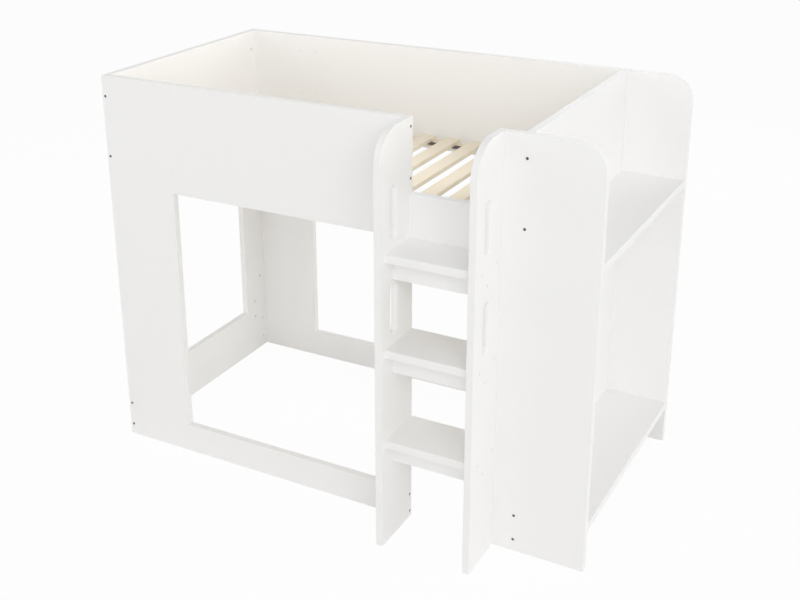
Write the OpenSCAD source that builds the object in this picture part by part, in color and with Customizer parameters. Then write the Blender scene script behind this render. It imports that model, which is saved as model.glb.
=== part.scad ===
// Children's loft bed of white boards, with a fixed ladder in front and an open
// bookcase behind the head end. Millimetres, +Z up.
// Bed coordinates: X runs from the foot end to the bookcase, Y from the front
// face of the front boards to the back, Z from the floor. placed() moves them
// to the middle of the footprint.

/* [Sleeping space] */
// Clear length between the foot end and the head end
mattress_l = 1600; // [1400:10:2000]
// Clear width between the front boards and the back boards
mattress_w = 906; // [806:2:1006]
// Height of the top of the slats above the lower edge of the guard boards
slat_rise = 57; // [45:1:75]

/* [Boards] */
// Overall height of the bed
bed_h = 1460; // [1300:5:1700]
// Thickness of every upright board
board_t = 25; // [22:1:28]
// Height of the guard boards
guard_h = 404; // [350:2:450]
// Width of the full-height leg boards at the foot end
leg_w = 292; // [220:2:380]
// Height of the front and back bottom rails
rail_h = 114; // [100:1:150]
// Height of the bottom rail of the foot end
foot_rail_h = 203; // [190:1:240]
// Width of the two posts of the foot end
post_w = 141; // [120:1:200]

/* [Ladder] */
// Clear width between the two stiles
ladder_w = 296; // [260:1:340]
// How far the stiles stand out in front of the front boards
stile_out = 190; // [170:1:230]
// Radius of the rounded top corner of each stile
stile_r = 116; // [60:1:150]
// Height of the top of the lowest tread
tread_z = 398; // [340:1:420]
// Height of the top tread above the lower edge of the guard boards
top_tread_rise = 4; // [0:1:20]
// Thickness of the treads
tread_t = 30; // [22:1:34]
// Radius of the eased front edges of a tread
tread_round = 4; // [1:0.5:8]
// Distance from the front edge of the stiles to the front edge of a tread
tread_inset = 25; // [10:1:40]
// Height of the rail under each tread
tread_rail_h = 72; // [50:1:90]
// Distance from the front edge of a tread to the rail under it
tread_rail_inset = 52; // [35:1:60]
// Height of the board that closes the bed above the top tread
stop_h = 151; // [120:1:180]

/* [Grip slots] */
// Width of a grip slot
grip_w = 38; // [30:1:50]
// Height of a grip slot
grip_h = 170; // [120:1:180]
// Radius of the rounded edge all round a grip slot
grip_round = 10; // [4:0.5:10.5]
// Distance from the front edge of the stile to the middle of a slot
grip_inset = 88; // [75:1:95]
// Height of the middle of a slot above the tread below it
grip_rise = 122; // [100:1:130]

/* [Bookcase] */
// Depth of the shelves
shelf_d = 236; // [200:1:246]
// Width of the side boards of the bookcase
side_w = 323; // [312:1:360]
// Radius of the rounded top corner of each side board
side_r = 95; // [50:1:140]
// Thickness of the shelves
shelf_t = 28; // [22:1:34]
// Height of the top of the upper shelf
upper_shelf_z = 1080; // [700:1:1200]
// Height of the top of the lower shelf
lower_shelf_z = 170; // [120:1:400]

/* [Slatted base] */
// Number of slats
slat_count = 15; // [12:1:17]
// Width of a slat
slat_w = 57; // [45:1:62]
// Thickness of a slat
slat_t = 18; // [16:0.5:20]
// Radius of the eased long edges of a slat
slat_round = 2.5; // [0.5:0.5:5]
// Gap between the foot end and the first slat
slat_foot_gap = 60; // [20:1:80]
// Gap between the last slat and the head end
slat_head_gap = 2; // [1:1:30]
// Gap between the ends of a slat and the boards
slat_end_gap = 1; // [0.5:0.5:3]
// Width of the cleats that carry the slats
cleat_w = 28; // [22:1:40]
// Height of the cleats
cleat_h = 20; // [16:0.5:22]
// Width of the webbing straps that hold the slats apart
strap_w = 40; // [20:1:50]
// Thickness of the webbing straps
strap_t = 1.5; // [1:0.1:3]
// Gap between a strap and the cleat beside it
strap_gap = 3; // [1:0.5:10]

/* [Joint fittings] */
// Height of the lowest row of corner bolts
bolt_low = 44; // [35:1:60]
// Height of the second row of corner bolts
bolt_low_2 = 137; // [110:1:160]
// Height of the third row of corner bolts above the slats
bolt_over_slats = 45; // [30:1:80]
// Distance of the top row of corner bolts below the top edge
bolt_high = 76; // [50:1:100]
// Distance of the outer stile bolts from the edge of a rail
rail_bolt_edge = 23; // [18:1:32]
// Distance of the outer stile bolts from the edge of a guard board
guard_bolt_edge = 31; // [20:1:40]
// Distance of the front tread screw behind the front edge of a tread
tread_screw_front = 21; // [15:1:30]
// Distance of the back tread screw in front of the back edge of a tread
tread_screw_back = 52; // [30:1:60]
// Distance from a seam to the middle of a cam lock
cam_reach = 37.5; // [30:0.5:45]
// Height of the cams in the seams of the bottom rails
cam_rail_z = 66; // [55:1:75]
// Height of the lower guard cams above the slats
cam_over_slats = 110; // [90:1:140]
// Distance of the upper guard cams below the top edge
cam_high = 64; // [40:1:68]
// Distance from a leg board to the middle of the cams at the ends of a post
post_cam_in = 84; // [60:1:92]
// Distance from the ends of a post to the cams that hold it to the leg board
post_cam_end = 146; // [100:1:200]

/* [Hidden] */
$fn = 48;

white = [0.93, 0.925, 0.915];
pine = [0.90, 0.85, 0.75];
zinc = [0.62, 0.62, 0.64];
webbing = [0.16, 0.14, 0.14];

// Main lines of the bed
guard_z = bed_h - guard_h;
bed_d = mattress_w + 2 * board_t;
head_x = board_t + mattress_l;
bed_l = head_x + board_t + shelf_d;
side_x = bed_l - side_w;
stile_right_x = side_x - board_t;
stile_left_x = stile_right_x - ladder_w - board_t;
back_y = bed_d - board_t;
mid = board_t / 2;

// Ladder
tread_y = tread_inset - stile_out;
tread_rail_y = tread_y + tread_rail_inset;
tread_x = stile_left_x + board_t;
top_tread_z = guard_z + top_tread_rise;
tread_step = (top_tread_z - tread_z) / 2;
tread_d = stile_out + board_t - tread_inset;

// Slatted base
slat_top = guard_z + slat_rise;
slat_z = slat_top - slat_t;
slat_l = mattress_w - 2 * slat_end_gap;
slat_pitch = (mattress_l - slat_foot_gap - slat_head_gap - slat_w) / (slat_count - 1);
cleat_z = slat_z - cleat_h;
cleat_back_y = back_y - cleat_w;

// Bolts with barrel nuts
fit = 0.15;
bolt_d = 6;
bolt_head_d = 10;
bolt_head_h = 4;
nut_d = 10;
nut_in = 26;
nut_hole = board_t - 6;
nut_sink = 1;
nut_slot_w = 1.6;
nut_slot_h = 1.5;
bolt_l = board_t + nut_in + nut_d / 2 + 3;

// Tread screws
screw_d = 6;
screw_head_d = 9;
screw_head_h = 3;
screw_l = board_t + 35;

// Cam locks
cam_d = 12;
cam_past_mid = 6;
cam_sink = 2;
cam_slot_l = 8;
cam_slot_w = 1.4;
cam_slot_h = 1.5;
cam_bolt_d = 7;
cam_bolt_in = 11;
cap_d = 17;
cap_h = 1.2;
post_cam_reach = 38;
shelf_cam_reach = 34;

// Dowels
dowel_d = 8;
dowel_in = 12;
dowel_out = 20;

// Small screws
wood_screw_d = 4;
wood_screw_head_d = 8;
wood_screw_head_h = 2.5;
wood_screw_in = 14;
cleat_end = 14;

function slat_name(i) = str("slat_", i < 10 ? "0" : "", i);
function slat_x(i) = board_t + slat_foot_gap + (i - 1) * slat_pitch;
function tread_top(k) = tread_z + k * tread_step;

// Placements. A placement is [point, direction], with the point on the face
// where the fitting goes in and the direction pointing into the board.

corner_rows = [bolt_low, bolt_low_2, slat_top + bolt_over_slats, bed_h - bolt_high];
corner_columns = [mid, head_x + mid];
corner_bolt_places = [
    for (x = corner_columns)
    for (z = corner_rows)
    for (side = [0, 1])
    [[x, side * bed_d, z], [0, 1 - 2 * side, 0]]];
corner_nut_places = [
    for (end = [0, 1])
    for (z = corner_rows)
    for (y = [board_t + nut_in, back_y - nut_in])
    [[end == 0 ? board_t : head_x, y, z], [2 * end - 1, 0, 0]]];

stile_rows = [
    rail_bolt_edge, rail_h - rail_bolt_edge,
    guard_z + guard_bolt_edge, (guard_z + bed_h) / 2, bed_h - guard_bolt_edge];
stile_bolt_places = concat(
    [for (z = stile_rows) [[tread_x, mid, z], [-1, 0, 0]]],
    [for (z = stile_rows) [[stile_right_x, mid, z], [1, 0, 0]]]);
stile_nut_places = concat(
    [for (z = stile_rows) [[stile_left_x - nut_in, board_t, z], [0, -1, 0]]],
    [for (z = stile_rows) [[side_x + nut_in, board_t, z], [0, -1, 0]]]);

tread_screw_points = [
    for (k = [0 : 2])
    each [
        [tread_y + tread_screw_front, tread_top(k) - tread_t / 2],
        [board_t - tread_screw_back, tread_top(k) - tread_t / 2],
        [tread_rail_y + mid, tread_top(k) - tread_t - tread_rail_h / 2]]];
tread_screw_places = [
    for (q = tread_screw_points)
    each [
        [[stile_left_x, q[0], q[1]], [1, 0, 0]],
        [[side_x, q[0], q[1]], [-1, 0, 0]]]];

// A seam cam is [point on the seam at the middle of the board, direction
// across the seam, direction from the open face into the board].
guard_cam_rows = [slat_top + cam_over_slats, bed_h - cam_high];
long_cam_rows = concat([cam_rail_z], guard_cam_rows);
capped_seam_cams = concat(
    [for (z = long_cam_rows) [[leg_w, mid, z], [1, 0, 0], [0, -1, 0]]],
    [for (z = long_cam_rows) [[leg_w, bed_d - mid, z], [1, 0, 0], [0, 1, 0]]],
    [for (z = long_cam_rows) [[side_x, bed_d - mid, z], [1, 0, 0], [0, 1, 0]]]);
bare_seam_cams = [
    for (y = [board_t + post_cam_in, back_y - post_cam_in])
    for (z = [foot_rail_h, guard_z])
    [[mid, y, z], [0, 0, 1], [-1, 0, 0]]];
seam_cams = concat(capped_seam_cams, bare_seam_cams);

// A corner cam is [point on the joint face at the middle of the board,
// direction into the board that carries the lock, direction from the open
// face into that board, distance from the joint face to the lock].
post_corner_cams = [
    for (z = [foot_rail_h + post_cam_end, guard_z - post_cam_end])
    each [
        [[mid, board_t, z], [0, 1, 0], [-1, 0, 0], post_cam_reach],
        [[mid, back_y, z], [0, -1, 0], [-1, 0, 0], post_cam_reach]]];
shelf_corner_cams = [
    for (z = [lower_shelf_z, upper_shelf_z])
    for (x = [head_x + board_t + shelf_d / 5, bed_l - shelf_d / 5])
    each [
        [[x, board_t, z - shelf_t / 2], [0, 1, 0], [0, 0, 1], shelf_cam_reach],
        [[x, back_y, z - shelf_t / 2], [0, -1, 0], [0, 0, 1], shelf_cam_reach]]];

// A lock is [middle of the lock, direction from the open face into the board,
// distance from the open face to the middle, turn of its eye about that
// direction].
cam_lock_places = concat(
    [for (c = seam_cams) each [
        [c[0] - cam_reach * c[1], c[2], mid, 90],
        [c[0] + cam_reach * c[1], c[2], mid, 90]]],
    [for (c = post_corner_cams) [c[0] + c[3] * c[1], c[2], mid, 0]],
    [for (c = shelf_corner_cams) [c[0] + c[3] * c[1], c[2], shelf_t / 2, 0]]);
capped_lock_places = [
    for (c = capped_seam_cams) each [
        [c[0] - cam_reach * c[1], c[2]],
        [c[0] + cam_reach * c[1], c[2]]]];

// A bolt between cams, or a dowel, is [start, direction, length].
cam_bolt_places = concat(
    [for (c = seam_cams) [c[0] - cam_reach * c[1], c[1], 2 * cam_reach]],
    [for (c = concat(post_corner_cams, shelf_corner_cams))
        [c[0] - cam_bolt_in * c[1], c[1], cam_bolt_in + c[3]]]);

tread_dowel_y = (tread_y + board_t) / 2;
stop_rows = [top_tread_z + stop_h / 4, top_tread_z + 3 / 4 * stop_h];
ladder_dowel_points = concat(
    [for (k = [0 : 2]) [tread_dowel_y, tread_top(k) - tread_t / 2]],
    [for (z = stop_rows) [mid, z]]);
seam_dowel_rows = [rail_h / 4, (guard_cam_rows[0] + guard_cam_rows[1]) / 2];
dowel_places = concat(
    [for (q = ladder_dowel_points) each [
        [[tread_x - dowel_in, q[0], q[1]], [1, 0, 0], dowel_in + dowel_out],
        [[stile_right_x + dowel_in, q[0], q[1]], [-1, 0, 0], dowel_in + dowel_out]]],
    [for (z = seam_dowel_rows) each [
        [[leg_w - dowel_out, mid, z], [1, 0, 0], 2 * dowel_out],
        [[leg_w - dowel_out, bed_d - mid, z], [1, 0, 0], 2 * dowel_out],
        [[side_x - dowel_out, bed_d - mid, z], [1, 0, 0], 2 * dowel_out]]],
    [for (z = [lower_shelf_z, upper_shelf_z]) each [
        [[bed_l - shelf_d / 2, board_t - dowel_in, z - shelf_t / 2], [0, 1, 0], dowel_in + dowel_out],
        [[bed_l - shelf_d / 2, back_y + dowel_in, z - shelf_t / 2], [0, -1, 0], dowel_in + dowel_out]]]);

guard_l = stile_left_x - leg_w;
cleat_screw_columns = concat(
    [board_t + cleat_end],
    [for (k = [1 : 3]) leg_w + k / 4 * guard_l],
    [tread_x + ladder_w / 2, head_x - cleat_end]);
cleat_screw_places = [
    for (x = cleat_screw_columns)
    for (side = [0, 1])
    [[x, side == 0 ? board_t + cleat_w : cleat_back_y, cleat_z + cleat_h / 2],
        [0, 2 * side - 1, 0]]];
slat_screw_places = [
    for (i = [1, slat_count])
    for (y = [board_t + cleat_w / 2, back_y - cleat_w / 2])
    [[slat_x(i) + slat_w / 2, y, slat_top], [0, 0, -1]]];

// Drillings. A drilling is [start, direction, diameter, depth]. It starts
// 1 mm outside the face, so that it opens cleanly.
function drilling(q, d, depth) = [q[0] - q[1], q[1], d, depth + 1];

board_drillings = concat(
    [for (q = concat(corner_bolt_places, stile_bolt_places)) each [
        drilling(q, bolt_d + 2 * fit, bolt_l + 1),
        drilling(q, bolt_head_d + 2 * fit, bolt_head_h)]],
    [for (q = concat(corner_nut_places, stile_nut_places))
        drilling(q, nut_d + 2 * fit, nut_hole)],
    [for (q = tread_screw_places) each [
        drilling(q, screw_d + 2 * fit, screw_l + 1),
        drilling(q, screw_head_d + 2 * fit, screw_head_h)]],
    [for (q = cam_lock_places)
        drilling([q[0] - q[2] * q[1], q[1]], cam_d + 2 * fit, q[2] + cam_past_mid)],
    [for (q = cam_bolt_places) [q[0], q[1], cam_bolt_d + 2 * fit, q[2]]],
    [for (q = dowel_places) [q[0], q[1], dowel_d + 2 * fit, q[2]]],
    [for (q = cleat_screw_places)
        [q[0], q[1], wood_screw_d + 2 * fit, cleat_w + wood_screw_in + 1]]);
cleat_drillings = concat(
    [for (q = cleat_screw_places) each [
        drilling(q, wood_screw_d + 2 * fit, cleat_w + wood_screw_in),
        drilling(q, wood_screw_head_d + 2 * fit, wood_screw_head_h)]],
    [for (q = slat_screw_places)
        [q[0], q[1], wood_screw_d + 2 * fit, slat_t + wood_screw_in + 1]]);
slat_drillings = [
    for (q = slat_screw_places) each [
        drilling(q, wood_screw_d + 2 * fit, slat_t + wood_screw_in),
        drilling(q, wood_screw_head_d + 2 * fit, wood_screw_head_h)]];

function drill_reach(k, i) = k[0][i] + k[3] * k[1][i];
function drill_spread(k, i) = k[1][i] == 0 ? k[2] / 2 : 0;
function drill_low(k, i) = min(k[0][i], drill_reach(k, i)) - drill_spread(k, i);
function drill_high(k, i) = max(k[0][i], drill_reach(k, i)) + drill_spread(k, i);
function meets(k, lo, hi) =
    min([for (i = [0 : 2]) min(drill_high(k, i) - lo[i], hi[i] - drill_low(k, i))]) > 0;

module placed() {
    translate([-bed_l / 2, (stile_out - bed_d) / 2, 0]) children();
}

// A round bar from a point along one of the axes
module bar(start, direction, d, length) {
    turn = direction[2] != 0 ? [direction[2] < 0 ? 180 : 0, 0, 0]
        : direction[0] != 0 ? [0, 90 * direction[0], 0]
        : [-90 * direction[1], 0, 0];
    translate(start) rotate(turn) cylinder(d = d, h = length);
}

// Takes out of its children every drilling that meets the box from lo to hi
module drilled(lo, hi, drillings) {
    difference() {
        children();
        for (k = drillings)
            if (meets(k, lo, hi)) bar(k[0], k[1], k[2], k[3]);
    }
}

module board(lo, hi, drillings = board_drillings) {
    drilled(lo, hi, drillings) translate(lo) cube(hi - lo);
}

// Front boards

module front_leg_board() {
    color(white) placed() board([0, 0, 0], [leg_w, board_t, bed_h]);
}

module front_guard_board() {
    color(white) placed() board([leg_w, 0, guard_z], [stile_left_x, board_t, bed_h]);
}

module front_bottom_rail() {
    color(white) placed() board([leg_w, 0, 0], [stile_left_x, board_t, rail_h]);
}

// Back boards

module back_leg_board() {
    color(white) placed() board([0, back_y, 0], [leg_w, bed_d, bed_h]);
}

module back_guard_board() {
    color(white) placed() board([leg_w, back_y, guard_z], [side_x, bed_d, bed_h]);
}

module back_bottom_rail() {
    color(white) placed() board([leg_w, back_y, 0], [side_x, bed_d, rail_h]);
}

// Foot end: two posts between a top board and a bottom rail

module foot_top_board() {
    color(white) placed() board([0, board_t, guard_z], [board_t, back_y, bed_h]);
}

module foot_front_post() {
    color(white) placed()
        board([0, board_t, foot_rail_h], [board_t, board_t + post_w, guard_z]);
}

module foot_back_post() {
    color(white) placed()
        board([0, back_y - post_w, foot_rail_h], [board_t, back_y, guard_z]);
}

module foot_bottom_rail() {
    color(white) placed() board([0, board_t, 0], [board_t, back_y, foot_rail_h]);
}

// Head end, which is also the back of the bookcase

module head_end_panel() {
    color(white) placed() board([head_x, board_t, 0], [head_x + board_t, back_y, bed_h]);
}

// Ladder

// Side outline of a stile, front edge at the left, seen along X
module stile_outline() {
    difference() {
        translate([-stile_out, 0]) square([stile_out + board_t, bed_h]);
        translate([-stile_out, bed_h - stile_r]) difference() {
            translate([-1, 0]) square([stile_r + 1, stile_r + 1]);
            translate([stile_r, 0]) circle(r = stile_r, $fn = 96);
        }
    }
}

module grip_outline() {
    reach = (grip_h - grip_w) / 2;
    square([grip_w, 2 * reach], center = true);
    for (side = [-1, 1])
        translate([0, side * reach]) circle(d = grip_w);
}

// What rounding takes away beside the slot: the corner outside a quarter circle
module edge_round_profile() {
    difference() {
        translate([-1, -grip_round]) square([grip_round + 1, grip_round + 1]);
        translate([grip_round, -grip_round]) circle(r = grip_round);
    }
}

// Rounds the rim of a slot whose face is the plane z = 0
module grip_rim_round() {
    reach = (grip_h - grip_w) / 2;
    for (side = [0, 1]) rotate([0, 0, 180 * side]) {
        translate([grip_w / 2, reach, 0]) rotate([90, 0, 0])
            linear_extrude(2 * reach) edge_round_profile();
        translate([0, reach, 0])
            rotate_extrude(angle = 180) translate([grip_w / 2, 0]) edge_round_profile();
    }
}

// Slot through a board lying on z = 0, with both rims rounded
module grip_cutter() {
    translate([0, 0, -1]) linear_extrude(board_t + 2) grip_outline();
    translate([0, 0, board_t]) grip_rim_round();
    mirror([0, 0, 1]) grip_rim_round();
}

module stile(x) {
    drilled([x, -stile_out, 0], [x + board_t, board_t, bed_h], board_drillings)
        translate([x, 0, 0]) rotate([90, 0, 90]) difference() {
            linear_extrude(board_t) stile_outline();
            for (k = [1, 2])
                translate([grip_inset - stile_out, tread_top(k) + grip_rise, 0])
                    grip_cutter();
        }
}

module ladder_stile_left() {
    color(white) placed() stile(stile_left_x);
}

module ladder_stile_right() {
    color(white) placed() stile(stile_right_x);
}

module ladder_stop_board() {
    color(white) placed()
        board([tread_x, 0, top_tread_z], [stile_right_x, board_t, top_tread_z + stop_h]);
}

// Side outline of a tread, front edge at the left
module tread_outline() {
    translate([tread_round, 0]) square([tread_d - tread_round, tread_t]);
    translate([0, tread_round]) square([tread_d, tread_t - 2 * tread_round]);
    for (y = [tread_round, tread_t - tread_round])
        translate([tread_round, y]) circle(r = tread_round);
}

module tread(k) {
    lo = [tread_x, tread_y, tread_top(k) - tread_t];
    hi = [stile_right_x, board_t, tread_top(k)];
    color(white) placed()
        drilled(lo, hi, board_drillings)
            translate(lo) rotate([90, 0, 90]) linear_extrude(ladder_w) tread_outline();
}

module tread_rail(k) {
    z = tread_top(k) - tread_t;
    color(white) placed()
        board([tread_x, tread_rail_y, z - tread_rail_h],
            [stile_right_x, tread_rail_y + board_t, z]);
}

// Bookcase

// Side board with its top outer corner rounded
module bookcase_side(y) {
    lo = [side_x, y, 0];
    hi = [bed_l, y + board_t, bed_h];
    drilled(lo, hi, board_drillings)
        translate([0, y + board_t, 0]) rotate([90, 0, 0])
            linear_extrude(board_t) difference() {
                translate([side_x, 0]) square([side_w, bed_h]);
                translate([bed_l - side_r, bed_h - side_r]) difference() {
                    square(side_r + 1);
                    circle(r = side_r, $fn = 96);
                }
            }
}

module bookcase_side_front() {
    color(white) placed() bookcase_side(0);
}

module bookcase_side_back() {
    color(white) placed() bookcase_side(back_y);
}

module shelf(z) {
    board([head_x + board_t, board_t, z - shelf_t], [bed_l, back_y, z]);
}

module shelf_upper() {
    color(white) placed() shelf(upper_shelf_z);
}

module shelf_lower() {
    color(white) placed() shelf(lower_shelf_z);
}

// Slatted base

module slat_cleat(y) {
    board([board_t, y, cleat_z], [head_x, y + cleat_w, slat_z], cleat_drillings);
}

module slat_cleat_front() {
    color(pine) placed() slat_cleat(board_t);
}

module slat_cleat_back() {
    color(pine) placed() slat_cleat(cleat_back_y);
}

// Cross section of a slat, with its four long edges eased
module slat_outline() {
    translate([slat_round, 0]) square([slat_w - 2 * slat_round, slat_t]);
    translate([0, slat_round]) square([slat_w, slat_t - 2 * slat_round]);
    for (x = [slat_round, slat_w - slat_round])
        for (y = [slat_round, slat_t - slat_round])
            translate([x, y]) circle(r = slat_round);
}

module slat(i) {
    lo = [slat_x(i), board_t + slat_end_gap, slat_z];
    hi = lo + [slat_w, slat_l, slat_t];
    color(pine) placed()
        drilled(lo, hi, slat_drillings)
            translate([lo[0], hi[1], lo[2]]) rotate([90, 0, 0])
                linear_extrude(slat_l) slat_outline();
}

// Two straps stapled under the slats, one beside each cleat
module slat_straps() {
    from = slat_x(1);
    to = slat_x(slat_count) + slat_w;
    color(webbing) placed()
        for (y = [board_t + cleat_w + strap_gap, cleat_back_y - strap_gap - strap_w])
            translate([from, y, slat_z - strap_t]) cube([to - from, strap_w, strap_t]);
}

// Fittings

module socket_head(d, h, socket) {
    difference() {
        cylinder(d = d, h = h);
        translate([0, 0, -1]) cylinder(d = socket, h = h / 2 + 1, $fn = 6);
    }
}

// Stands its children, made along +Z, at a placement
module at_place(q) {
    direction = q[1];
    turn = direction[2] != 0 ? [direction[2] < 0 ? 180 : 0, 0, 0]
        : direction[0] != 0 ? [0, 90 * direction[0], 0]
        : [-90 * direction[1], 0, 0];
    translate(q[0]) rotate(turn) children();
}

module bolt(d, length, head_d, head_h) {
    socket_head(head_d, head_h, d * 0.7);
    translate([0, 0, head_h]) cylinder(d = d, h = length - head_h);
}

module corner_bolts() {
    color(zinc) placed()
        for (q = corner_bolt_places) at_place(q) bolt(bolt_d, bolt_l, bolt_head_d, bolt_head_h);
}

module stile_bolts() {
    color(zinc) placed()
        for (q = stile_bolt_places) at_place(q) bolt(bolt_d, bolt_l, bolt_head_d, bolt_head_h);
}

// Cross nut with a screwdriver slot in its face; its thread lies at mid-board
module barrel_nut(turn) {
    difference() {
        translate([0, 0, nut_sink]) cylinder(d = nut_d, h = nut_hole - nut_sink);
        rotate([0, 0, turn]) {
            translate([-nut_slot_w / 2, -nut_d, 0])
                cube([nut_slot_w, 2 * nut_d, nut_sink + nut_slot_h]);
            translate([0, 0, mid]) rotate([90, 0, 0])
                cylinder(d = bolt_d + 2 * fit, h = 2 * nut_d, center = true);
        }
    }
}

module corner_barrel_nuts() {
    color(zinc) placed() for (q = corner_nut_places) at_place(q) barrel_nut(0);
}

module stile_barrel_nuts() {
    color(zinc) placed() for (q = stile_nut_places) at_place(q) barrel_nut(90);
}

module tread_screws() {
    color(zinc) placed()
        for (q = tread_screw_places)
            at_place(q) bolt(screw_d, screw_l, screw_head_d, screw_head_h);
}

// Cam lock with a cross slot in its face and an eye for the bolt
module cam_lock(depth, turn) {
    difference() {
        translate([0, 0, cam_sink]) cylinder(d = cam_d, h = depth + cam_past_mid - cam_sink);
        for (arm = [0, 90]) rotate([0, 0, arm])
            translate([-cam_slot_l / 2, -cam_slot_w / 2, 0])
                cube([cam_slot_l, cam_slot_w, cam_sink + cam_slot_h]);
        translate([0, 0, depth]) rotate([90, 0, turn])
            cylinder(d = cam_bolt_d + 2 * fit, h = 2 * cam_d, center = true);
    }
}

module cam_locks() {
    color(zinc) placed()
        for (q = cam_lock_places)
            at_place([q[0] - q[2] * q[1], q[1]]) cam_lock(q[2], q[3]);
}

module cam_bolts() {
    color(zinc) placed()
        for (q = cam_bolt_places)
            bar(q[0] + 0.5 * q[1], q[1], cam_bolt_d, q[2] - 1);
}

// Snap-in cap: a thin round plate with a stub in the mouth of the cam hole
module cover_cap() {
    translate([0, 0, -cap_h]) cylinder(d = cap_d, h = cap_h);
    cylinder(d = cam_d - 2 * fit, h = cam_sink - fit);
}

module cam_cover_caps() {
    color(white) placed()
        for (q = capped_lock_places) at_place([q[0] - mid * q[1], q[1]]) cover_cap();
}

module wooden_dowels() {
    color(pine) placed()
        for (q = dowel_places) bar(q[0] + 0.5 * q[1], q[1], dowel_d, q[2] - 1);
}

module wood_screw(length) {
    socket_head(wood_screw_head_d, wood_screw_head_h, wood_screw_d * 0.7);
    translate([0, 0, wood_screw_head_h])
        cylinder(d = wood_screw_d, h = length - wood_screw_head_h);
}

module cleat_screws() {
    color(zinc) placed()
        for (q = cleat_screw_places) at_place(q) wood_screw(cleat_w + wood_screw_in);
}

module slat_screws() {
    color(zinc) placed()
        for (q = slat_screw_places) at_place(q) wood_screw(slat_t + wood_screw_in);
}

front_leg_board();
front_guard_board();
front_bottom_rail();
back_leg_board();
back_guard_board();
back_bottom_rail();
foot_top_board();
foot_front_post();
foot_back_post();
foot_bottom_rail();
head_end_panel();
ladder_stile_left();
ladder_stile_right();
ladder_stop_board();
tread(0);  // tread_lower
tread(1);  // tread_middle
tread(2);  // tread_upper
tread_rail(0);  // tread_rail_lower
tread_rail(1);  // tread_rail_middle
tread_rail(2);  // tread_rail_upper
bookcase_side_front();
bookcase_side_back();
shelf_upper();
shelf_lower();
slat_cleat_front();
slat_cleat_back();
slat_straps();
corner_bolts();
corner_barrel_nuts();
stile_bolts();
stile_barrel_nuts();
tread_screws();
cam_locks();
cam_bolts();
cam_cover_caps();
wooden_dowels();
cleat_screws();
slat_screws();
for (i = [1 : slat_count])
    slat(i);
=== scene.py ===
import math

import bmesh
import bpy
import numpy as np
from mathutils import Matrix, Vector


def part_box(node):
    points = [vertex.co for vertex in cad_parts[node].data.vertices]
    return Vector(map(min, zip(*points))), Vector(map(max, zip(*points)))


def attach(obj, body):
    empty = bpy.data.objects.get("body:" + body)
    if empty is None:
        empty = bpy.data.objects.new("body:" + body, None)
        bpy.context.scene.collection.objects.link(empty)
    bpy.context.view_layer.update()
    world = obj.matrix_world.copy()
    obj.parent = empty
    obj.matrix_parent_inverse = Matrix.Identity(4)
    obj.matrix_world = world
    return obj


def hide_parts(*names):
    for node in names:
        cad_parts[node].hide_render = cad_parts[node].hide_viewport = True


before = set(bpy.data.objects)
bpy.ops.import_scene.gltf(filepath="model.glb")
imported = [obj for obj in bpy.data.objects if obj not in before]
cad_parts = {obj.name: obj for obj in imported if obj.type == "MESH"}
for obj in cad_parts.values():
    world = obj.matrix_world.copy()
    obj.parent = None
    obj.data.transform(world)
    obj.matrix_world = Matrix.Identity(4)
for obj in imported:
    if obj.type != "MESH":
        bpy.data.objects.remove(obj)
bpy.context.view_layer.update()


# ---- Long boards of the front and the back ----
# Six boards of 25 mm lacquered board: at each side a full-height leg board at
# the foot end, a guard board and a bottom rail. They are cut square, sprayed
# white all over and eased along every edge.

board_ease = 0.0009       # radius of the sanded edges
ease_steps = 3            # facets across an eased edge
sharp_angle = math.radians(32)
flat_angle = math.radians(0.5)    # faces that bend less than this become one
same_corner = 1e-5        # corners nearer than this are one
bore_rim = 0.003          # edges shorter than this belong to bored holes

skin_waves = 330          # waves of the sprayed skin to a metre
fine_waves = 1250         # weaker waves on top of them
fine_share = 0.35         # height of these beside the others
shade_patches = 5         # slow changes of shade to a metre
gloss_patches = 11        # slow changes of gloss to a metre
skin_depth = 0.0001       # how far the skin stands up


def add_piece(name, mesh, replaced, finish_slot, *materials):
    """A finished piece at the origin, riding with the bed, in place of CAD nodes."""
    piece = bpy.data.objects.new(name, mesh)
    bpy.context.scene.collection.objects.link(piece)
    for material in materials:
        piece.data.materials.append(material)
    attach(piece, "root")
    if replaced:
        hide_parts(*replaced)
    return piece


def eased_copy(node, radius, steps, shortest, material, finish_slot):
    """The node's own solid with its sharp edges rounded to the radius.

    Edges no longer than shortest stay crisp.
    """
    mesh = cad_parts[node].data.copy()
    mesh.materials.clear()
    form = bmesh.new()
    form.from_mesh(mesh)
    bmesh.ops.remove_doubles(form, verts=form.verts, dist=same_corner)
    bmesh.ops.dissolve_limit(
        form, angle_limit=flat_angle, verts=form.verts, edges=form.edges,
        use_dissolve_boundaries=False)
    for face in form.faces:
        face.smooth = True
    eased = form.edges.layers.float.new("bevel_weight_edge")
    for edge in form.edges:
        edge.smooth = edge.calc_face_angle(0.0) < sharp_angle
        if not edge.smooth and edge.calc_length() > shortest:
            edge[eased] = 1.0
    form.to_mesh(mesh)
    form.free()
    piece = add_piece(node + "_finished", mesh, [node], finish_slot, material)
    ease = piece.modifiers.new("eased edges", "BEVEL")
    ease.width = radius
    ease.segments = steps
    ease.limit_method = "WEIGHT"
    ease.use_clamp_overlap = False
    ease.harden_normals = True


def feed(tree, value, socket):
    """A number is set on the socket itself, and another node's output is linked."""
    if isinstance(value, (int, float)):
        socket.default_value = value
    else:
        tree.links.new(value, socket)


def calc(tree, operation, *values):
    """One Math node on numbers and on other nodes' outputs."""
    node = tree.nodes.new("ShaderNodeMath")
    node.operation = operation
    for value, socket in zip(values, node.inputs):
        feed(tree, value, socket)
    return node.outputs[0]


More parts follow.
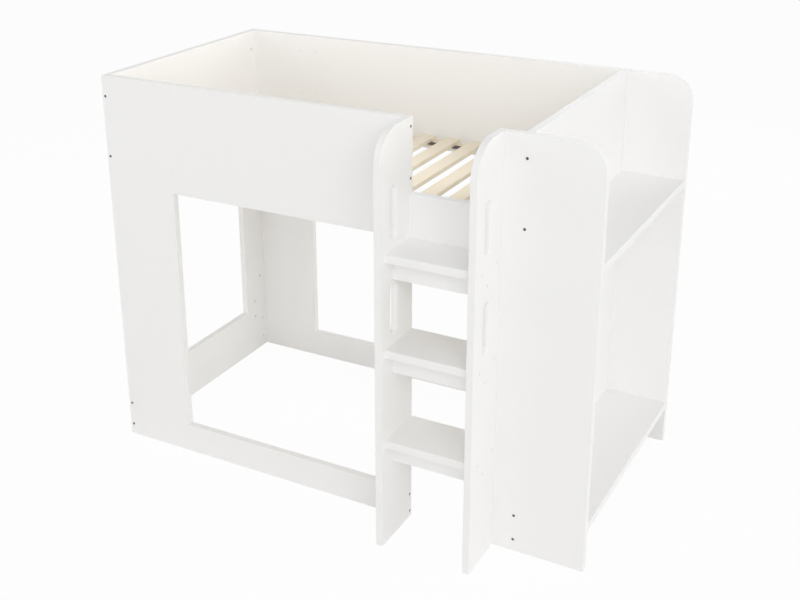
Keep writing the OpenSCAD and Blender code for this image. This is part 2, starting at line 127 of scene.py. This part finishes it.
def noise(tree, place, waves, detail):
    """A smooth 3D noise from 0 to 1, with so many waves to one unit of the place."""
    node = tree.nodes.new("ShaderNodeTexNoise")
    node.inputs["Scale"].default_value = waves
    node.inputs["Detail"].default_value = detail
    feed(tree, place, node.inputs["Vector"])
    return node.outputs["Fac"]


def object_place(tree):
    """Where a point of the surface lies on the bed, in metres."""
    return tree.nodes.new("ShaderNodeTexCoord").outputs["Object"]


def number_sockets(tree, side, *labels):
    """Named number sockets at a node group's side, INPUT or OUTPUT."""
    for label in labels:
        tree.interface.new_socket(label, in_out=side, socket_type="NodeSocketFloat")


def sprayed_skin_group():
    """Sprayed lacquer: a fine wavy skin, and slow changes of shade and gloss.

    Height is a noise of skin_waves plus fine_share times one of fine_waves.
    Shade and Gloss are slow noises, both from 0 to 1.
    """
    tree = bpy.data.node_groups.new("sprayed skin", "ShaderNodeTree")
    number_sockets(tree, "OUTPUT", "Height", "Shade", "Gloss")
    place = object_place(tree)
    out = tree.nodes.new("NodeGroupOutput")
    height = calc(tree, "MULTIPLY_ADD", noise(tree, place, fine_waves, detail=1), fine_share,
                  noise(tree, place, skin_waves, detail=2))
    feed(tree, height, out.inputs["Height"])
    feed(tree, noise(tree, place, shade_patches, detail=2), out.inputs["Shade"])
    feed(tree, noise(tree, place, gloss_patches, detail=3), out.inputs["Gloss"])
    return tree


sprayed_skin = sprayed_skin_group()


def blended(tree, factor, low, high):
    """A colour from low, where factor is 0, to high, where it is 1."""
    mix = tree.nodes.new("ShaderNodeMix")
    mix.data_type = "RGBA"
    feed(tree, factor, mix.inputs["Factor"])
    for label, colour in (("A", low), ("B", high)):
        if isinstance(colour, tuple):
            mix.inputs[label].default_value = (*colour, 1)
        else:
            feed(tree, colour, mix.inputs[label])
    return mix.outputs["Result"]


def ranged(tree, value, low, high, from_low=0.3, from_high=0.7, step="LINEAR"):
    """A number from low to high as value goes from from_low to from_high.

    Most of a noise lies between 0.3 and 0.7.
    """
    span = tree.nodes.new("ShaderNodeMapRange")
    span.interpolation_type = step
    for label, number in (("Value", value), ("From Min", from_low), ("From Max", from_high),
                          ("To Min", low), ("To Max", high)):
        feed(tree, number, span.inputs[label])
    return span.outputs["Result"]


def raised(tree, height, strength, distance):
    """A normal bent by a height, for small relief."""
    bump = tree.nodes.new("ShaderNodeBump")
    for label, number in (("Height", height), ("Strength", strength), ("Distance", distance)):
        feed(tree, number, bump.inputs[label])
    return bump.outputs["Normal"]


def new_finish(name):
    """A new material and its node tree."""
    material = bpy.data.materials.new(name)
    material.use_nodes = True
    return material, material.node_tree


def surface(tree, colour, rough, normal):
    """The material's Principled BSDF, fed with these three."""
    body = tree.nodes["Principled BSDF"]
    for label, value in (("Base Color", colour), ("Roughness", rough), ("Normal", normal)):
        feed(tree, value, body.inputs[label])
    return body


def lacquer(name, light, dark, rough_low, rough_high, peel, shine):
    """Satin lacquer between two close shades, with the sprayer's fine skin."""
    material, tree = new_finish(name)
    skin = tree.nodes.new("ShaderNodeGroup")
    skin.node_tree = sprayed_skin
    body = surface(
        tree,
        colour=blended(tree, skin.outputs["Shade"], dark, light),
        rough=ranged(tree, skin.outputs["Gloss"], rough_low, rough_high),
        normal=raised(tree, skin.outputs["Height"], peel, skin_depth))
    body.inputs["IOR"].default_value = 1.5
    body.inputs["Specular IOR Level"].default_value = shine
    return material


white_lacquer = lacquer(
    "white lacquer", light=(0.944, 0.942, 0.938), dark=(0.936, 0.934, 0.930),
    rough_low=0.40, rough_high=0.52, peel=0.25, shine=0.35)


def lacquered(nodes, radius):
    """Boards of this finish, with every edge eased but the rims of their bores."""
    for node in nodes:
        eased_copy(node, radius, ease_steps, bore_rim, white_lacquer, "white_board")


lacquered([side + "_" + board
           for side in ("front", "back")
           for board in ("leg_board", "guard_board", "bottom_rail")], board_ease)


# ---- Foot end ----
# A top board and a bottom rail with two posts between them, of the same board
# and finish. Cam locks hold the posts to these two and to the leg boards.

lacquered(("foot_top_board", "foot_front_post", "foot_back_post", "foot_bottom_rail"), board_ease)


# ---- Head end and bookcase ----
# A full-height panel closes the bed and is the back of the bookcase. Two side
# boards with a rounded top corner stand against it and hold two thick shelves.

lacquered(("head_end_panel", "bookcase_side_front", "bookcase_side_back",
           "shelf_upper", "shelf_lower"), board_ease)


# ---- Ladder ----
# Two stiles with routed grip slots, three treads on rails and a stop board.
# Hands and feet go here, so the stiles are eased more than the other boards.

stile_ease = 0.002

lacquered(("ladder_stile_left", "ladder_stile_right"), stile_ease)
for level in ("lower", "middle", "upper"):
    lacquered(("tread_" + level, "tread_rail_" + level), board_ease)
lacquered(["ladder_stop_board"], board_ease)


# ---- Slats and cleats ----
# Fifteen planed pine slats lie across two pine cleats that are screwed to the
# front and back boards. The wood is raw, pale and straight in the grain, with
# a small knot here and there.

slat_nodes = sorted(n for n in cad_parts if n.removeprefix("slat_").isdigit())
slat_low = [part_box(n)[0] for n in slat_nodes]
slat_high = [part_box(n)[1] for n in slat_nodes]
slat_pitch = (slat_low[-1].x - slat_low[0].x) / (len(slat_nodes) - 1)

stave_shift = (7.0, 3.0)  # how far its chance moves a stave's figure, across and along
ring_step = 0.0034        # from one yearly ring to the next
late_wood = 3.0           # power that keeps the dark of a ring at its end
ring_drift = 0.05         # how far the rings wander sideways
drift_waves = (6.0, 1.1, 6.0)         # waves to a metre across, along and through
pore_waves = (900.0, 14.0, 900.0)
tone_waves = (30.0, 2.0, 30.0)
knot_run = 0.45           # a stave has one knot at most in each such length
knot_along = (0.6, 0.2)   # span and least share of that length where it may lie
knot_across = (0.4, 0.2)  # the same across, as shares of the pitch
knot_long = 1.7           # how much longer it is along the grain
knot_core = 0.0020        # radius of its dark middle
knot_edge = 0.0045        # radius at which it has faded out
knot_push = 0.009         # how far the rings part around it
knot_calm = 90.0          # how fast they close again, as e to the power -90 r
shade_start = -0.12       # from 0 for light to 1 for dark, before these add to it
shade_parts = (("Rings", 0.34), ("Pores", 0.24), ("Tone", 0.40), ("Chance", 0.22))
ring_relief = 0.4         # height of the rings beside that of the pores
wood_ease = 0.0008
wood_steps = 2


def joined(tree, x, y, z):
    """A place put together from three numbers."""
    node = tree.nodes.new("ShaderNodeCombineXYZ")
    for value, socket in zip((x, y, z), node.inputs):
        feed(tree, value, socket)
    return node.outputs[0]


def separated(tree, place):
    """The three numbers of a place."""
    node = tree.nodes.new("ShaderNodeSeparateXYZ")
    feed(tree, place, node.inputs[0])
    return node.outputs


def drawn(tree, dimensions, label, seed):
    """A node with random draws, always the same ones for the same seed."""
    node = tree.nodes.new("ShaderNodeTexWhiteNoise")
    node.noise_dimensions = dimensions
    feed(tree, seed, node.inputs[label])
    return node


def wood_figure_group():
    """Yearly rings, pores and knots of one stave of wood after another.

    Place has the grain along Y and the staves side by side along X, each
    Pitch wide from Start. Rings: the fraction of (across + slow drift) over
    ring_step, raised to a power, so each ring darkens to its late wood.
    Pores: a noise drawn out some 60 times along the grain. Knots: in each
    knot_run of a stave one random point, with rings that part around it.
    Chance is one random number for each stave.
    """
    tree = bpy.data.node_groups.new("wood figure", "ShaderNodeTree")
    tree.interface.new_socket("Place", in_out="INPUT", socket_type="NodeSocketVector")
    number_sockets(tree, "INPUT", "Pitch", "Start", "Knots")
    number_sockets(tree, "OUTPUT", "Rings", "Pores", "Tone", "Knot", "Chance")
    place, pitch, start, knots = tree.nodes.new("NodeGroupInput").outputs[:4]
    out = tree.nodes.new("NodeGroupOutput").inputs
    across, along, through = separated(tree, place)

    stave = calc(tree, "DIVIDE", calc(tree, "SUBTRACT", across, start), pitch)
    stave = calc(tree, "FLOOR", stave)
    chance = drawn(tree, "1D", "W", stave).outputs["Value"]
    moved_x = calc(tree, "MULTIPLY_ADD", chance, stave_shift[0], across)
    moved_y = calc(tree, "MULTIPLY_ADD", chance, stave_shift[1], along)

    def drawn_out(waves, detail):
        """A noise with its own waves to a metre across, along and through."""
        numbers = [calc(tree, "MULTIPLY", value, wave)
                   for value, wave in zip((moved_x, moved_y, through), waves)]
        return noise(tree, joined(tree, *numbers), 1.0, detail)

    run = calc(tree, "FLOOR", calc(tree, "DIVIDE", moved_y, knot_run))
    draws = tree.nodes.new("ShaderNodeSeparateColor")
    feed(tree, drawn(tree, "2D", "Vector", joined(tree, stave, run, 0.0)).outputs["Color"],
         draws.inputs[0])
    draw_y, draw_x, draw_knot = draws.outputs
    knot_y = calc(tree, "ADD", run, calc(tree, "MULTIPLY_ADD", draw_y, *knot_along))
    knot_y = calc(tree, "MULTIPLY", knot_y, knot_run)
    knot_x = calc(tree, "ADD", stave, calc(tree, "MULTIPLY_ADD", draw_x, *knot_across))
    knot_x = calc(tree, "MULTIPLY_ADD", knot_x, pitch, start)
    off_x = calc(tree, "SUBTRACT", across, knot_x)
    off_y = calc(tree, "DIVIDE", calc(tree, "SUBTRACT", moved_y, knot_y), knot_long)
    far = calc(tree, "SQRT", calc(tree, "ADD", calc(tree, "MULTIPLY", off_x, off_x),
                                  calc(tree, "MULTIPLY", off_y, off_y)))
    present = calc(tree, "LESS_THAN", draw_knot, knots)
    near = calc(tree, "EXPONENT", calc(tree, "MULTIPLY", far, -knot_calm))
    near = calc(tree, "MULTIPLY", present, near)
    bent = calc(tree, "MULTIPLY", calc(tree, "SIGN", off_x), knot_push)
    bent = calc(tree, "MULTIPLY", near, bent)

    drift = calc(tree, "SUBTRACT", drawn_out(drift_waves, detail=2), 0.5)
    drift = calc(tree, "MULTIPLY", drift, ring_drift)
    ring = calc(tree, "ADD", calc(tree, "SUBTRACT", moved_x, bent), drift)
    ring = calc(tree, "FRACT", calc(tree, "DIVIDE", ring, ring_step))
    core = ranged(tree, far, 0.0, 1.0, knot_edge, knot_core, "SMOOTHSTEP")
    feed(tree, calc(tree, "POWER", ring, late_wood), out["Rings"])
    feed(tree, drawn_out(pore_waves, detail=3), out["Pores"])
    feed(tree, drawn_out(tone_waves, detail=2), out["Tone"])
    feed(tree, calc(tree, "MULTIPLY", core, present), out["Knot"])
    feed(tree, chance, out["Chance"])
    return tree


wood_figure = wood_figure_group()


def raw_wood(name, along, pitch, start, knots, light, dark, knot_tone):
    """Planed raw wood with its grain along X or Y.

    Its shade goes from light to dark with the sum of shade_start and the
    weighted shade_parts: rings, pores, slow changes and the stave's chance.
    """
    material, tree = new_finish(name)
    x, y, z = separated(tree, object_place(tree))
    place = joined(tree, *((x, y, z) if along == "Y" else (y, x, z)))
    figure = tree.nodes.new("ShaderNodeGroup")
    figure.node_tree = wood_figure
    for label, value in (("Place", place), ("Pitch", pitch), ("Start", start), ("Knots", knots)):
        feed(tree, value, figure.inputs[label])
    shown = figure.outputs
    shade = shade_start
    for label, weight in shade_parts:
        shade = calc(tree, "MULTIPLY_ADD", shown[label], weight, shade)
    relief = calc(tree, "MULTIPLY_ADD", shown["Rings"], ring_relief, shown["Pores"])
    body = surface(
        tree,
        colour=blended(tree, shown["Knot"], blended(tree, shade, light, dark), knot_tone),
        rough=ranged(tree, shown["Pores"], low=0.54, high=0.70),
        normal=raised(tree, relief, strength=0.3, distance=0.0002))
    body.inputs["Specular IOR Level"].default_value = 0.3
    return material


def finish_node(node, material):
    """A CAD node of the right shape takes the material as it is."""
    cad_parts[node].data.materials.clear()
    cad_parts[node].data.materials.append(material)


pine_tones = {"light": (0.955, 0.895, 0.765), "dark": (0.80, 0.695, 0.515),
              "knot_tone": (0.42, 0.27, 0.15)}
slat_pine = raw_wood("slat pine", along="Y", pitch=slat_pitch, start=slat_low[0].x, knots=0.45,
                     **pine_tones)
cleat_pine = raw_wood("cleat pine", along="X", pitch=0.4, start=-0.6, knots=0.5, **pine_tones)

for node in slat_nodes:
    finish_node(node, slat_pine)
for node in ("slat_cleat_front", "slat_cleat_back"):
    eased_copy(node, wood_ease, wood_steps, bore_rim, cleat_pine, "pine")


# ---- Webbing straps ----
# Two dark woven straps keep the slats apart. Each runs under all fifteen, dips
# a little between them and is held to every slat by a wire staple.

rib_count = 14            # warp ribs across the strap
rib_height = 0.00012
rib_steps = 4             # points to a rib
hem_power = 12            # the higher, the nearer to the selvedge it thins out
strap_dip = 0.0016
steps_per_slat = 12
yarn = 0.0012             # from one yarn to the next across the strap
yarn_apart = 1.4          # how much further apart they lie along it
fibre_waves = 2600        # waves of single fibres to a metre
fibre_share = 0.4         # height of these beside the weave
box_decimals = 5          # of a metre, to which corners are compared


def loose_solids(node):
    """Lowest and highest corner of each separate solid in a node.

    Every corner takes the smallest number among its triangles' corners, over
    and over, until each solid holds one number.
    """
    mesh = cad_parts[node].data
    points = np.empty(len(mesh.vertices) * 3)
    mesh.vertices.foreach_get("co", points)
    points = points.reshape(-1, 3)
    corners = np.empty(len(mesh.loops), dtype=np.int64)
    mesh.loops.foreach_get("vertex_index", corners)
    places, same = np.unique(points.round(box_decimals), axis=0, return_inverse=True)
    triangles = same.ravel()[corners].reshape(-1, 3)
    number = np.arange(len(places))
    while True:
        before = number.copy()
        np.minimum.at(number, triangles, number[triangles].min(axis=1)[:, None])
        if (number == before).all():
            break
    return [(places[number == n].min(axis=0), places[number == n].max(axis=0))
            for n in np.unique(number)]


def tube_faces(rings, around, first):
    """Quads between rings of a tube, and a face over each of its two ends."""
    ring, turn = np.meshgrid(np.arange(rings - 1), np.arange(around), indexing="ij")
    here = first + ring * around + turn
    beside = first + ring * around + (turn + 1) % around
    quads = np.stack([here, beside, beside + around, here + around], axis=-1)
    start = list(range(first, first + around))[::-1]
    end = list(range(first + (rings - 1) * around, first + rings * around))
    return quads.reshape(-1, 4).tolist() + [start, end]


def tubes(name, grids):
    """One smooth mesh of separate tubes, each an array of rings of points."""
    points = np.concatenate([grid.reshape(-1, 3) for grid in grids])
    faces = []
    first = 0
    for rings, around, _ in (grid.shape for grid in grids):
        faces += tube_faces(rings, around, first)
        first += rings * around
    mesh = bpy.data.meshes.new(name)
    mesh.from_pydata(points.tolist(), [], faces)
    mesh.validate()
    mesh.shade_smooth()
    return mesh


def strap_section(width, thick):
    """Outline of the webbing, seen along it.

    Upper half: height = thick / 2 - rib_height + rib_height * cos(2 pi ribs s)
    over the width s from 0 to 1, drawn in to nothing at both selvedges by
    (1 - (2 s - 1) ** hem_power) to the power 1/2. The lower half mirrors it.
    """
    s = np.linspace(0, 1, rib_count * rib_steps + 1)
    hem = np.sqrt(1 - (2 * s - 1) ** hem_power)
    high = (thick / 2 - rib_height + rib_height * np.cos(2 * np.pi * rib_count * s)) * hem
    over = np.stack([(s - 0.5) * width, high], axis=-1)
    under = np.stack([(s - 0.5) * width, -high], axis=-1)[1:-1][::-1]
    return np.concatenate([over, under])


def strap_points(low, high):
    """The section carried along the strap.

    Height of the strap's middle: its rest height minus
    strap_dip * sin(pi t) ** 2 over each opening t from 0 to 1 between slats.
    """
    section = strap_section(high[1] - low[1], high[2] - low[2])
    spots = np.linspace(low[0], high[0], (len(slat_nodes) - 1) * steps_per_slat + 1)
    slat_width = slat_high[0].x - slat_low[0].x
    opening = slat_pitch - slat_width
    t = np.clip((((spots - low[0]) % slat_pitch) - slat_width) / opening, 0, 1)
    middle = (low[2] + high[2]) / 2 - strap_dip * np.sin(np.pi * t) ** 2
    points = np.empty((len(spots), len(section), 3))
    points[:, :, 0] = spots[:, None]
    points[:, :, 1] = (low[1] + high[1]) / 2 + section[None, :, 0]
    points[:, :, 2] = middle[:, None] + section[None, :, 1]
    return points


def webbing(name, thread, painted_gap_shade, step_along, step_across, rough_low, rough_high):
    """Plain-woven polyester: two crossed waves, one yarn wide, set the height.

    Threads lie light on dark: height = max(|sin along|, |sin across|) of the
    yarn grid, with a noise of single fibres on top. The same weave sets the
    colour, from the thread's colour down to a painted shade in the hollows
    between the threads.
    """
    material, tree = new_finish(name)
    place = object_place(tree)
    along, across, _ = separated(tree, place)
    swings = [calc(tree, "SINE", calc(tree, "MULTIPLY", way, math.pi / step))
              for way, step in ((along, step_along), (across, step_across))]
    weave = calc(tree, "MAXIMUM", *(calc(tree, "ABSOLUTE", swing) for swing in swings))
    fibre = noise(tree, place, fibre_waves, detail=2)
    body = surface(
        tree,
        # painted shade: the colour darkens where the weave is low, between the threads
        colour=blended(tree, weave, painted_gap_shade, thread),
        rough=ranged(tree, fibre, rough_low, rough_high),
        normal=raised(tree, calc(tree, "MULTIPLY_ADD", fibre, fibre_share, weave),
                      strength=0.6, distance=0.0003))
    body.inputs["Sheen Weight"].default_value = 0.2
    body.inputs["Sheen Roughness"].default_value = 0.5
    return material


# The darker of the two colours is painted shade in the hollows of the weave.
strap_webbing = webbing(
    "strap webbing", thread=(0.085, 0.062, 0.058), painted_gap_shade=(0.022, 0.017, 0.017),
    step_along=yarn * yarn_apart, step_across=yarn, rough_low=0.68, rough_high=0.80)
strap_boxes = loose_solids("slat_straps")
strap_grids = [strap_points(low, high) for low, high in strap_boxes]
add_piece("slat_straps_woven", tubes("slat_straps_woven", strap_grids),
          ["slat_straps"], "webbing", strap_webbing)


# ---- Fittings ----
# Blackened socket bolts and bright zinc-plated screws sit in counterbores. The
# cross nuts and the cam locks are cast zinc, sunk just under the faces.

steel_ease = 0.00025
steel_steps = 2
grit_depth = 0.0001       # how far the grit stands up
patch_size = 8            # how much larger the patches of shade are than the grit


def brushed_metal(name, light, dark, rough_low, rough_high, grit, relief):
    """Plated or cast metal with a fine grit in its shade, gloss and surface."""
    material, tree = new_finish(name)
    place = object_place(tree)
    grain = noise(tree, place, grit, detail=3)
    patch = noise(tree, place, grit / patch_size, detail=2)
    body = surface(
        tree,
        colour=blended(tree, patch, dark, light),
        rough=ranged(tree, grain, rough_low, rough_high),
        normal=raised(tree, grain, relief, grit_depth))
    body.inputs["Metallic"].default_value = 1.0
    return material


dark_steel = brushed_metal(
    "dark steel", light=(0.19, 0.19, 0.20), dark=(0.11, 0.11, 0.12),
    rough_low=0.30, rough_high=0.45, grit=1400, relief=0.15)
bright_zinc = brushed_metal(
    "bright zinc", light=(0.86, 0.86, 0.86), dark=(0.78, 0.78, 0.79),
    rough_low=0.26, rough_high=0.38, grit=1400, relief=0.12)
cast_zinc = brushed_metal(
    "cast zinc", light=(0.78, 0.78, 0.78), dark=(0.68, 0.68, 0.69),
    rough_low=0.38, rough_high=0.52, grit=2200, relief=0.3)
for node in ("corner_bolts", "stile_bolts"):
    eased_copy(node, steel_ease, steel_steps, 0.0, dark_steel, "zinc_steel")
for node in ("tread_screws", "cleat_screws", "slat_screws"):
    eased_copy(node, steel_ease, steel_steps, 0.0, bright_zinc, "zinc_steel")
for node in ("corner_barrel_nuts", "stile_barrel_nuts", "cam_locks", "cam_bolts"):
    finish_node(node, cast_zinc)

staple_wire = 0.0006      # half the thickness of the wire
staple_wide = 0.010
staple_leg = 0.006
staple_corner = 0.001
corner_steps = 4          # points on each rounded corner
wire_sides = 6


def staple_path():
    """Middle line of a staple: a leg down, the crown, and a leg up.

    Side is the sum of two straight legs and a crown, with quarter circles of
    staple_corner between them. Points are (side, height), crown at height 0.
    """
    bend = np.linspace(0, np.pi / 2, corner_steps)
    left = np.stack([-staple_wide / 2 + staple_corner - staple_corner * np.cos(bend),
                     staple_corner - staple_corner * np.sin(bend)], axis=-1)
    right = left[::-1] * (-1, 1)
    ends = np.array([[-staple_wide / 2, staple_leg], [staple_wide / 2, staple_leg]])
    return np.concatenate([ends[:1], left, right, ends[1:]])


def staple_points(place):
    """A six-sided wire carried along the staple's path, at a place."""
    path = staple_path()
    ahead = np.gradient(path, axis=0)
    ahead /= np.linalg.norm(ahead, axis=1)[:, None]
    outward = np.stack([ahead[:, 1], -ahead[:, 0]], axis=-1)
    turn = np.linspace(0, 2 * np.pi, wire_sides, endpoint=False)
    points = np.empty((len(path), len(turn), 3))
    points[:, :, 0] = place[0] + staple_wire * np.sin(turn)[None, :]
    swell = staple_wire * np.cos(turn)[None, :]
    points[:, :, 1] = place[1] + path[:, None, 0] + outward[:, None, 0] * swell
    points[:, :, 2] = place[2] + path[:, None, 1] + outward[:, None, 1] * swell
    return points


# The crown is pulled a quarter of its wire into the webbing.
staple_places = [
    ((start.x + end.x) / 2, (low[1] + high[1]) / 2, low[2] - staple_wire / 2)
    for start, end in zip(slat_low, slat_high) for low, high in strap_boxes]
staple_grids = [staple_points(place) for place in staple_places]
add_piece("strap_staples", tubes("strap_staples", staple_grids), [], "zinc_steel", cast_zinc)


# ---- Cover caps ----
# Snap-in caps of white plastic hide the cam locks in the long boards. Each is
# a low dome with a rounded rim and a stub that plugs the mouth of the bore.

cap_rise = 0.0012
cap_crown = 0.0004        # how much higher the dome's middle is than its rim
cap_rim = 0.0005          # radius of the rim
cap_foot = 0.0001         # bevel where the rim meets the board
cap_stub = 0.00585        # radius of the stub
cap_depth = 0.00185       # how far the stub reaches into the board
stub_bevel = 0.0003
stub_middle = 0.0012      # radius of the flat face that closes the stub
cap_middle = 0.08         # share of the dome's radius that a flat face closes
dome_rings = 10
rim_rings = 5
cap_turns = 48


def cap_profile(radius):
    """Radius and height above the board, from the dome's middle to the stub's.

    Dome: height = cap_rise - cap_crown * (r / radius) ** 2. Rim: a quarter
    circle of cap_rim, then down to the board. Stub: straight, with a bevel.
    """
    inner = np.linspace(cap_middle, 1, dome_rings) * (radius - cap_rim)
    dome = np.stack([inner, cap_rise - cap_crown * (inner / radius) ** 2], axis=-1)
    bend = np.linspace(0, np.pi / 2, rim_rings + 1)[1:]
    drop = dome[-1, 1] - cap_rim
    rim = np.stack([radius - cap_rim + cap_rim * np.sin(bend),
                    drop + cap_rim * np.cos(bend)], axis=-1)
    stub = np.array([[radius, cap_foot / 2], [radius - cap_foot, 0.0], [cap_stub, 0.0],
                     [cap_stub, -cap_depth + stub_bevel], [cap_stub - stub_bevel, -cap_depth],
                     [stub_middle, -cap_depth]])
    return np.concatenate([dome, rim, stub])


def cap_points(middle, outward, radius):
    """The profile turned about the Y axis through the cap's middle."""
    profile = cap_profile(radius)
    turn = np.linspace(0, 2 * np.pi, cap_turns, endpoint=False) * outward
    points = np.empty((len(profile), cap_turns, 3))
    points[:, :, 0] = middle[0] + profile[:, None, 0] * np.sin(turn)[None, :]
    points[:, :, 1] = middle[1] + outward * profile[:, None, 1]
    points[:, :, 2] = middle[2] + profile[:, None, 0] * np.cos(turn)[None, :]
    return points


# Caps sit on the inner faces, so those of the front boards look towards +Y.
cap_grids = []
for low, high in loose_solids("cam_cover_caps"):
    outward = 1.0 if low[1] < 0 else -1.0
    face = (high[1] if outward > 0 else low[1]) - outward * cap_rise
    middle = np.array([(low[0] + high[0]) / 2, face, (low[2] + high[2]) / 2])
    cap_grids.append(cap_points(middle, outward, (high[0] - low[0]) / 2))
cap_plastic = lacquer(
    "cap plastic", light=(0.970, 0.970, 0.968), dark=(0.960, 0.960, 0.958),
    rough_low=0.16, rough_high=0.22, peel=0.1, shine=0.7)
add_piece("cam_cover_caps_domed", tubes("cam_cover_caps_domed", cap_grids),
          ["cam_cover_caps"], "white_plastic", cap_plastic)


# ---- Dowels ----
# Plain beech pins, glued across the joints: at both ends of the treads, the
# stop board and the shelves, and where rails and guards meet upright boards.

beech = raw_wood("beech", along="X", pitch=0.02, start=0.0, knots=0.0,
                 light=(0.66, 0.49, 0.33), dark=(0.52, 0.36, 0.22), knot_tone=(0.40, 0.27, 0.16))
finish_node("wooden_dowels", beech)


# ---- Studio ----
# A pale floor in front of a white backdrop, and soft light from all round,
# strongest near the horizon, as between large upright screens.

photo_w = 800
bed_corner = Vector((-0.943, -0.383, 0.0))     # front corner at the foot end
camera_place = bed_corner + Vector((2.8587624, -3.1426721, 2.433035))
camera_yaw, camera_pitch, camera_roll = -0.5016, -0.347, -0.0064     # radians
focal_px = 1176.6223
centre_px = (-20.4, -90.0)    # from the photograph's middle to the lens axis
sensor_w = 36.0

look = Vector((
    math.sin(camera_yaw) * math.cos(camera_pitch),
    math.cos(camera_yaw) * math.cos(camera_pitch),
    math.sin(camera_pitch)))
level = Vector((math.cos(camera_yaw), -math.sin(camera_yaw), 0))
upright = level.cross(look)
right = level * math.cos(camera_roll) + upright * math.sin(camera_roll)
up = upright * math.cos(camera_roll) - level * math.sin(camera_roll)
lens = bpy.data.cameras.new("camera")
lens.sensor_width = sensor_w
lens.lens = focal_px / photo_w * sensor_w
lens.shift_x = -centre_px[0] / photo_w
lens.shift_y = centre_px[1] / photo_w
camera = bpy.data.objects.new("camera", lens)
camera.matrix_world = Matrix((
    (right.x, up.x, -look.x, camera_place.x),
    (right.y, up.y, -look.y, camera_place.y),
    (right.z, up.z, -look.z, camera_place.z),
    (0, 0, 0, 1)))
bpy.context.scene.collection.objects.link(camera)
bpy.context.scene.camera = camera
bpy.context.scene.view_settings.view_transform = "Standard"

screen_light = 1.10       # strength at the horizon
right_light = 0.59        # more from +X
room_tint = (1.0, 0.993, 0.982, 1)
paper_white = 1.0         # what the camera, gloss and glass see
light_passes = 7          # times that white boards pass light on to each other

bpy.context.scene.cycles.diffuse_bounces = light_passes


def seen(tree):
    """1 for rays of the camera, of gloss and of glass, and 0 for those that light."""
    paths = tree.nodes.new("ShaderNodeLightPath").outputs
    ray = calc(tree, "MAXIMUM", paths["Is Camera Ray"], paths["Is Glossy Ray"])
    return calc(tree, "MAXIMUM", ray, paths["Is Transmission Ray"])


def split_by(tree, share, lit, shown, output, socket):
    """Mixes two shaders by a share from 0, all lit, to 1, all shown, into the output."""
    mix = tree.nodes.new("ShaderNodeMixShader")
    for value, place in zip((share, lit.outputs[0], shown.outputs[0]), mix.inputs):
        feed(tree, value, place)
    feed(tree, mix.outputs[0], tree.nodes.new(output).inputs[socket])


world = bpy.data.worlds.new("studio")
bpy.context.scene.world = world
world.use_nodes = True
sky = world.node_tree
sky.nodes.clear()
sky_x, _, sky_z = separated(sky, sky.nodes.new("ShaderNodeTexCoord").outputs["Generated"])
# Strength by direction: screen_light (1 - z z) squared + right_light ((1 + x) / 2) squared.
screens = calc(sky, "POWER", calc(sky, "SUBTRACT", 1.0, calc(sky, "MULTIPLY", sky_z, sky_z)), 2.0)
from_right = calc(sky, "POWER", calc(sky, "MULTIPLY_ADD", sky_x, 0.5, 0.5), 2.0)
strength = calc(sky, "MULTIPLY", screens, screen_light)
strength = calc(sky, "MULTIPLY_ADD", from_right, right_light, strength)
room = sky.nodes.new("ShaderNodeBackground")
room.inputs["Color"].default_value = room_tint
feed(sky, strength, room.inputs["Strength"])
paper = sky.nodes.new("ShaderNodeBackground")
paper.inputs["Color"].default_value = (1, 1, 1, 1)
paper.inputs["Strength"].default_value = paper_white
split_by(sky, seen(sky), room, paper, "ShaderNodeOutputWorld", "Surface")


def softbox(name, place, aim, width, height, watts, spread=180.0):
    """An area lamp that hangs at a place and faces a point.

    A honeycomb in front of it narrows its beam to the spread, in degrees.
    """
    lamp = bpy.data.lights.new(name, "AREA")
    lamp.shape = "RECTANGLE"
    lamp.size = width
    lamp.size_y = height
    lamp.spread = math.radians(spread)
    lamp.energy = watts
    holder = bpy.data.objects.new(name, lamp)
    holder.location = place
    holder.rotation_euler = (Vector(aim) - Vector(place)).to_track_quat("-Z", "Y").to_euler()
    bpy.context.scene.collection.objects.link(holder)


softbox("front right box", (3.2, -3.6, 3.6), (0.2, 0.0, 0.8), 2.0, 2.0, watts=36)
softbox("front left box", (-3.0, -3.6, 3.6), (0.0, 0.0, 0.8), 2.0, 2.0, watts=10)
softbox("left box", (-4.6, -1.0, 2.4), (0.0, 0.0, 0.8), 2.6, 2.6, watts=30)
softbox("back box", (0.0, 4.6, 2.8), (0.0, 0.0, 0.8), 2.6, 2.6, watts=30)
softbox("top box", (0.4, -0.4, 4.6), (0.1, 0.0, 0.8), 3.0, 3.0, watts=14)
softbox("box over the slats", (-0.118, 0.095, 2.4), (-0.118, 0.095, 0.8), 1.2, 0.5, watts=0.68,
        spread=26.0)

floor_reach = 40.0
floor_pale = 0.90
floor_paper = 0.95        # share of plain paper in what is seen of it, beside its shadow

floor_material, ground = new_finish("pale floor")
ground.nodes.clear()
lit = ground.nodes.new("ShaderNodeBsdfDiffuse")
lit.inputs["Color"].default_value = (floor_pale, floor_pale, floor_pale, 1)
plain = ground.nodes.new("ShaderNodeEmission")
plain.inputs["Strength"].default_value = paper_white
split_by(ground, calc(ground, "MULTIPLY", seen(ground), floor_paper), lit, plain,
         "ShaderNodeOutputMaterial", "Surface")
floor_mesh = bpy.data.meshes.new("floor")
floor_mesh.from_pydata(
    [(-floor_reach, -floor_reach, 0), (floor_reach, -floor_reach, 0),
     (floor_reach, floor_reach, 0), (-floor_reach, floor_reach, 0)], [], [(0, 1, 2, 3)])
floor_mesh.materials.append(floor_material)
floor = bpy.data.objects.new("floor", floor_mesh)
bpy.context.scene.collection.objects.link(floor)
